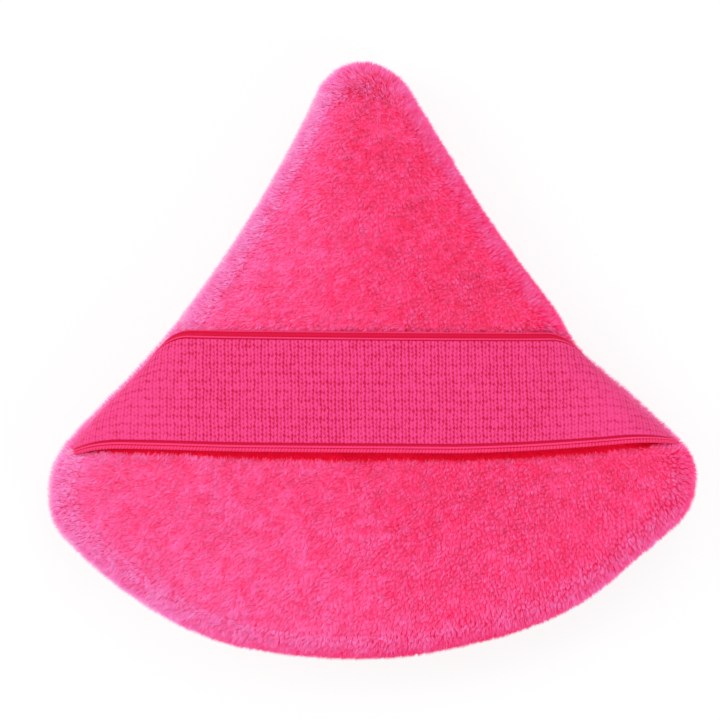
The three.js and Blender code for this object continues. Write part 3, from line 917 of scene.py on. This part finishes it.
def pile_mesh(name, strands, shades):
    """Closed three-sided tapered strands in one mesh: short straight ones, and bent ones at the rim."""
    points, faces, slots = [], [], []
    start = 0
    for bent in (False, True):
        part = {key: value[strands["bent"] == bent] for key, value in strands.items()}
        count = len(part["root"])
        way = unit(part["tip"] - part["root"])
        aside = unit(np.cross(way, np.array([0.31, 0.17, 0.93])))
        other = np.cross(way, aside)
        levels = [("root", 1.0), ("middle", 0.8)] if bent else [("root", 1.0)]
        size = 3 * len(levels) + 1
        spots = np.empty((count, size, 3))
        for level, (key, share) in enumerate(levels):
            for i in range(3):
                turn = 2 * math.pi * i / 3
                out = math.cos(turn) * aside + math.sin(turn) * other
                spots[:, 3 * level + i] = part[key] + share * part["radius"][:, None] * out
        spots[:, -1] = part["tip"]
        first = start + (size * np.arange(count))[:, None]
        top = size - 4
        # Painted shade deep in the pile: the bases, and the lower parts of bent strands, take one shade
        # deeper than the tips where there is one
        deeper = np.where(part["step"] > 1, part["step"] - 1, part["step"])
        if bent:
            faces += [first + np.array([[i, (i + 1) % 3, 3 + (i + 1) % 3, 3 + i]]) for i in range(3)]
            slots += [deeper] * 3
        faces += [first + np.array([[top + i, top + (i + 1) % 3, size - 1]]) for i in range(3)]
        faces.append(first + np.array([[2, 1, 0]]))
        slots += [part["step"]] * 3 + [deeper]
        points.append(spots.reshape(-1, 3))
        start += size * count
    points = np.vstack(points)
    points[:, 2] = np.maximum(points[:, 2], 0)
    return make_mesh(name, points, faces, shades, slots, smooth_faces=False)


def grow_pile(side, up, shades, bands):
    """The pile of one cover in bands across it, each a mesh of its own."""
    strands = lay_pile(up)
    order = np.argsort(strands["root"][:, 1])
    for i, part in enumerate(np.array_split(order, bands)):
        chosen = {key: value[part] for key, value in strands.items()}
        piece = pile_mesh(f"{side}_pile_{i + 1}", chosen, shades)
        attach(piece, "puff")


def backing(side, up, materials):
    """The knit backing cloth of a cover, from its crown round the roll and in along the seam."""
    ks = np.linspace(0, len(OUTLINE), 720, endpoint=False)
    vs = crown_to_rim(84, 2)
    kk, vv = np.meshgrid(ks, vs)
    grid = cover_point(kk, vv, pile_depth(vv), up)
    normals = grid_normals(np.concatenate([grid[:, -1:], grid, grid[:, :1]], axis=1))[:, 1:-1] * -up
    flat = grid.reshape(-1, 3)
    bumps = 0.0001 * (noise(flat, 0.0007, 21) - 0.5) + 0.0001 * (noise(flat, 0.003, 22) - 0.5)
    points = flat + normals.reshape(-1, 3) * bumps[:, None]
    inner = cover_point(kk[-1:], np.full((1, len(ks)), 2.0), RIM_DEPTH + 0.003, up).reshape(-1, 3)
    points = np.vstack([points, inner, [[0, DOME_Y, flat[: len(ks), 2].mean()]]])
    faces = grid_faces(len(vs) + 1, len(ks), True)
    crown = len(points) - 1
    c = np.arange(len(ks))
    fan = np.stack([np.full(len(ks), crown), (c + 1) % len(ks), c], axis=1)
    if up < 0:
        faces = faces[:, ::-1]
        fan = fan[:, ::-1]
    slots = [np.zeros(len(faces), int), np.zeros(len(fan), int)]
    # Painted shadow: faces of the front backing in the shadow band beside the strap take the pile's painted
    # shadow colour
    if up > 0:
        places = points[faces[:, 0]]
        slots[0] = (strap_press_and_painted_shadow(places, np.repeat(vs, len(ks))[: len(faces)])[1] > 0.5).astype(int)
    piece = make_mesh(f"{side}_backing", points, [faces[:, ::-1], fan[:, ::-1]], materials, slots)
    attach(piece, "puff")
    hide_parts(f"{side}_cover")


# The strap
def knit_height(along, across):
    """Relief of the knit from 0 to 1: upright wales of small loops, each second gap deeper, and a dashed
    sunken row after each second course, which takes over towards the strap's ends. The same relief colours
    the knit, low places darker as painted shade."""
    flat = np.stack([along, across, np.zeros_like(along)], axis=-1).reshape(-1, 3)
    drift = (noise(flat, 0.0011, 31) - 0.5).reshape(along.shape)
    shift = (noise(flat, 0.0009, 32) - 0.5).reshape(along.shape)
    broken = noise(flat, 0.0007, 33).reshape(along.shape)
    end = ramp(np.abs(along), KNIT_END_FROM, KNIT_END_OVER)
    w = across / COURSE_PITCH + COURSE_WANDER * shift
    u = along / WALE_PITCH + WALE_WANDER * drift
    odd = np.mod(np.round(u), 2)
    second = 0.5 + 0.5 * np.cos(math.pi * (u - 0.5))
    stitch = np.stack([np.round(u), np.floor(w + 0.5 * odd), 0 * u], axis=-1).reshape(-1, 3).astype(np.int64)
    yarn = (lattice_hash(stitch, 5 * CLUMP_SALT) / HASH_TOP - 0.5).reshape(along.shape)
    u = u + LOOP_SWAY * np.sin(2 * math.pi * (w + 0.5 * odd))
    wale = 0.5 + 0.5 * np.cos(2 * math.pi * u)
    aside = np.abs(u - np.round(u))
    loop = 0.5 + 0.5 * np.cos(2 * math.pi * (w + 0.5 * odd + LOOP_SLANT * aside))
    gap = (1 - wale) ** 0.8 * (0.72 + 0.28 * second) * mix(1, 0.6, end) * (0.85 + 0.15 * (1 - loop))
    pair = w / 2 - np.round(w / 2)
    row = np.exp(-((pair / mix(0.14, 0.17, end)) ** 2)) * mix(0.72 + 0.28 * (1 - wale), 1, 0.7 * end)
    row = row * (0.5 + 0.7 * broken)
    height = 1 - GAP_DEPTH * gap - LOOP_DEPTH * (1 - loop) - mix(ROW_DEPTH, END_ROW_DEPTH, end) * row
    return np.clip(height + YARN_DIFFERS * yarn, 0, 1)


def strap_band_pieces(material):
    """The knit band in a left and a right half that meet at its middle."""
    rows, columns = KNIT_ROWS, KNIT_COLUMNS
    across = np.linspace(-BAND_HALF, BAND_HALF, rows)
    points, along = strap_rows(across, columns)
    out = grid_normals(points)
    wide = np.broadcast_to(across[:, None], along.shape)
    relief = knit_height(along, wide)
    border = smooth((BAND_HALF - np.abs(wide)) / KNIT_BORDER)
    body = BAND_THICKNESS / 2 * mix(0.45, 1, border)
    top = points + out * (body + KNIT_RELIEF * (relief - 1) * border)[..., None]
    under = points[[0, -1]] - out[[0, -1]] * (BAND_THICKNESS / 2)
    middle = points[rows // 2][None] - out[rows // 2][None] * (BAND_THICKNESS / 2)
    ring = np.concatenate([top, under[1:], middle, under[:1]], axis=0)
    # The knit's colour by relief: its lower border is painted darker, as shade where it dips towards the
    # cords
    value = relief * np.where(wide > 0, 1, border)
    value = np.concatenate([value, np.full((3, columns), 0.5)], axis=0)
    pieces = []
    for side, part in (("left", slice(0, columns // 2 + 1)), ("right", slice(columns // 2, columns))):
        piece = tube_mesh(f"strap_knit_{side}", [(ring[:, part], value[:, part])], material)
        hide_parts("strap_band")
        pieces.append(piece)
    return pieces


def tube_mesh(name, parts, material):
    """One mesh of lengthwise tubes, each given as rings of points [side][step] with their relief, and
    closed at both ends."""
    points, faces, soft, relief = [], [], [], []
    start = 0
    for ring, value in parts:
        rows, columns = value.shape
        quads = tube_faces(rows, columns)
        points.append(ring.reshape(-1, 3))
        relief.append(value.ravel())
        end = start + columns * np.arange(rows)[None, :]
        faces += [quads + start, end, end[:, ::-1] + columns - 1]
        soft += [np.ones(len(quads), bool), np.zeros(2, bool)]
        start += rows * columns
    piece = make_mesh(name, np.vstack(points), faces, [material], smooth_faces=np.concatenate(soft))
    attribute = piece.data.attributes.new("relief", "FLOAT", "POINT")
    attribute.data.foreach_set("value", np.concatenate(relief).astype(np.float32))
    return piece


def cord_points(across, radius, lift, twist, depth, contrast=0.5, level=1):
    """A round cord beside the band, with a twist of the pitch given cut to a depth, and its relief, which
    colours it: the twist's grooves painted darker as shade, and the whole cord drawn darker by a level below
    1.
    """
    points, along = strap_rows([across - 0.0001, across, across + 0.0001], EDGE_COLUMNS)
    out = grid_normals(points)[1]
    over = unit(points[2] - points[0])
    centre = points[1] + out * lift
    loops, relief = [], []
    for i in range(CORD_SIDES):
        turn = 2 * math.pi * i / CORD_SIDES
        wave = 0.5 + 0.5 * np.sin(2 * math.pi * along[1] / twist + turn)
        size = radius - depth * (1 - wave)
        loops.append(centre + size[:, None] * (math.cos(turn) * over + math.sin(turn) * out))
        relief.append(level - contrast * (1 - wave))
    return np.array(loops), np.array(relief)


def tape_points(low, high):
    """A flat tape along the strap between two across coordinates, under its cords."""
    points = strap_rows([low, high], EDGE_COLUMNS)[0]
    out = grid_normals(points)
    under = TAPE_LIFT - TAPE_THICKNESS / 2
    over = TAPE_LIFT + TAPE_THICKNESS / 2
    ring = [points[i] + out[i] * height for i, height in ((0, under), (1, under), (1, over), (0, over))]
    # The tape's relief is 0, so where it shows between the cords it takes the darkest colour, painted as the
    # shade of the groove
    return np.array(ring), np.zeros((4, EDGE_COLUMNS))


def strap_edges(material):
    """The strap's upper and lower edge, each one mesh of its tape and cords."""
    pieces = []
    for side, (low, high) in TAPES.items():
        parts = [tape_points(low, high), *(cord_points(**cord) for cord in CORDS[side])]
        piece = tube_mesh(f"strap_{side}_edge", parts, material)
        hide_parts(f"strap_{side}_binding")
        pieces.append(piece)
    return pieces


def closing_stitch(material):
    """The ladder stitch in the seam's groove along the bottom, as a thin twisted thread."""
    low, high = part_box("closing_stitch")
    count = 400
    xs = np.linspace(low.x, high.x, count)
    left = xs < 0
    bottom = np.arange(len(OUTLINE) // 8)
    k = np.interp(np.abs(xs), OUTLINE[bottom, 0], bottom)
    base = cover_point(k, np.full(count, 2.0), RIM_DEPTH - THREAD_STANDS_OUT, 1)
    base[left, 0] *= -1
    ladder = np.sin(2 * math.pi * xs / LADDER_PITCH)
    base[:, 2] = SEAM_Z + LADDER_HALF * np.sign(ladder) * smooth(2 * np.abs(ladder))
    way = unit(np.gradient(base, axis=0))
    out = unit(np.stack([base[:, 0], base[:, 1] - DOME_Y, np.zeros(count)], axis=1))
    aside = unit(np.cross(way, out))
    loops = []
    for i in range(THREAD_SIDES):
        turn = 2 * math.pi * i / THREAD_SIDES
        size = THREAD_RADIUS + PLY_RELIEF * np.sin(2 * math.pi * xs / PLY_PITCH + 2 * turn)
        loops.append(base + size[:, None] * (math.cos(turn) * out + math.sin(turn) * aside))
    quads = tube_faces(THREAD_SIDES, count)
    piece = make_mesh("closing_thread", np.array(loops).reshape(-1, 3), [quads], [material])
    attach(piece, "puff")
    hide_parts("closing_stitch")


def foam_piece(material):
    """The foam pad inside: a copy of its solid in the foam's own look."""
    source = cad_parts["foam_core"]
    mesh = source.data.copy()
    mesh.materials.clear()
    mesh.materials.append(material)
    piece = add_object("foam_pad", mesh)
    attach(piece, "puff")
    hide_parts("foam_core")


# Stage
PHOTO_SIZE = 720
PHOTO_LEFT, PHOTO_RIGHT = 48, 696
PHOTO_TOP, PHOTO_BOTTOM = 62, 657
PHOTO_LEFT_SHIFT = 2
CAMERA_DISTANCE = 0.7
CAMERA_ROLL = math.radians(-0.8)
SENSOR_MM = 36
FLOOR_HALF = 2.0
FLOOR_COLOR = (0.95, 0.95, 0.95)
FLOOR_SHOWN_WHITE = 0.85
WORLD_LIGHT = 0.62
LIGHT_BOUNCES = 12
LAMPS = {
    "key": ((-0.5, 0.12, 0.42), 0.4, 1.7),
    "top": ((0.15, 0.42, 0.6), 0.4, 1.42),
    "fill": ((0.42, -0.4, 0.4), 0.5, 1.6),
}


def add_camera():
    """Straight down on the strap side, with the puff's size and place in the picture as photographed."""
    mm_per_pixel = PUFF_WIDTH / (PHOTO_RIGHT - PHOTO_LEFT + 1)
    widest_z = SEAM_Z + ROLL_RISE
    shift_x = ((PHOTO_LEFT + PHOTO_RIGHT) / 2 - PHOTO_LEFT_SHIFT - PHOTO_SIZE / 2) * mm_per_pixel
    shift_y = ((PHOTO_TOP + PHOTO_BOTTOM) / 2 - PHOTO_SIZE / 2) * mm_per_pixel
    data = bpy.data.cameras.new("camera")
    data.sensor_width = SENSOR_MM
    data.lens = SENSOR_MM * CAMERA_DISTANCE / (PHOTO_SIZE * mm_per_pixel)
    data.clip_start = 0.01
    data.clip_end = 10
    camera = add_object("camera", data)
    camera.location = (-shift_x, shift_y, widest_z + CAMERA_DISTANCE)
    camera.rotation_euler = (0, 0, CAMERA_ROLL)
    bpy.context.scene.camera = camera


def add_area(name, location, size, power):
    """A round lamp that faces the puff."""
    data = bpy.data.lights.new(name, "AREA")
    data.shape = "DISK"
    data.size = size
    data.energy = power
    light = add_object(name, data)
    light.location = location
    way = -np.array(location)
    light.rotation_euler = (math.atan2(math.hypot(way[0], way[1]), -way[2]), 0,
                            math.atan2(way[1], way[0]) - math.pi / 2)


def white_to_camera(material, shader, share):
    """Shows a surface, by a share, as plain white to the camera and to mirrored and clear rays."""
    nodes, links = material.node_tree.nodes, material.node_tree.links
    ray = nodes.new("ShaderNodeLightPath").outputs
    glow = nodes.new("ShaderNodeEmission")
    blend = nodes.new("ShaderNodeMixShader")
    seen_or_mirrored = math_node(material, "MAXIMUM", ray["Is Camera Ray"], ray["Is Glossy Ray"])
    any_clear_ray = math_node(material, "MAXIMUM", seen_or_mirrored, ray["Is Transmission Ray"])
    links.new(math_node(material, "MULTIPLY", any_clear_ray, share), blend.inputs["Fac"])
    links.new(shader.outputs["BSDF"], blend.inputs[1])
    links.new(glow.outputs["Emission"], blend.inputs[2])
    links.new(blend.outputs["Shader"], nodes["Material Output"].inputs["Surface"])


def add_stage():
    material, shader = principled("pale_floor", FLOOR_COLOR, 0.9, 0.0, (1, 1, 1))
    white_to_camera(material, shader, FLOOR_SHOWN_WHITE)
    corners = FLOOR_HALF * np.array([[-1, -1, 0], [1, -1, 0], [1, 1, 0], [-1, 1, 0]])
    floor = make_mesh("floor", corners, [np.array([[0, 1, 2, 3]])], [material])
    for name, (location, size, power) in LAMPS.items():
        add_area(name, location, size, power)
    world = bpy.data.worlds.new("world")
    world.use_nodes = True
    background = world.node_tree.nodes["Background"]
    background.inputs["Color"].default_value = (1, 1, 1, 1)
    background.inputs["Strength"].default_value = WORLD_LIGHT
    bpy.context.scene.world = world


def main():
    scene = bpy.context.scene
    scene.view_settings.view_transform = "Standard"
    scene.cycles.diffuse_bounces = LIGHT_BOUNCES
    add_camera()
    add_stage()
    shades = plush_shades()
    cloth = backing_material()
    for side, up in (("front", 1), ("back", -1)):
        # The backing's second material is the pile's painted shadow, for the band beside the strap
        backing(side, up, [cloth, shades[0]])
        grow_pile(side, up, shades, PILE_BANDS[up])
    knit = knit_material("knit_elastic", KNIT_DARK, KNIT_LIGHT, 0.1)
    edge = knit_material("strap_cord", CORD_DARK, CORD_LIGHT, 0.05)
    for piece in (*strap_band_pieces(knit), *strap_edges(edge)):
        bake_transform(piece)
    thread = thread_material()
    closing_stitch(thread)
    foam_piece(foam_material())
    for node in ("needle_thread", "bobbin_thread", "right_strap_tack", "left_strap_tack"):
        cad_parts[node].data.materials.clear()
        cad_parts[node].data.materials.append(thread)


main()
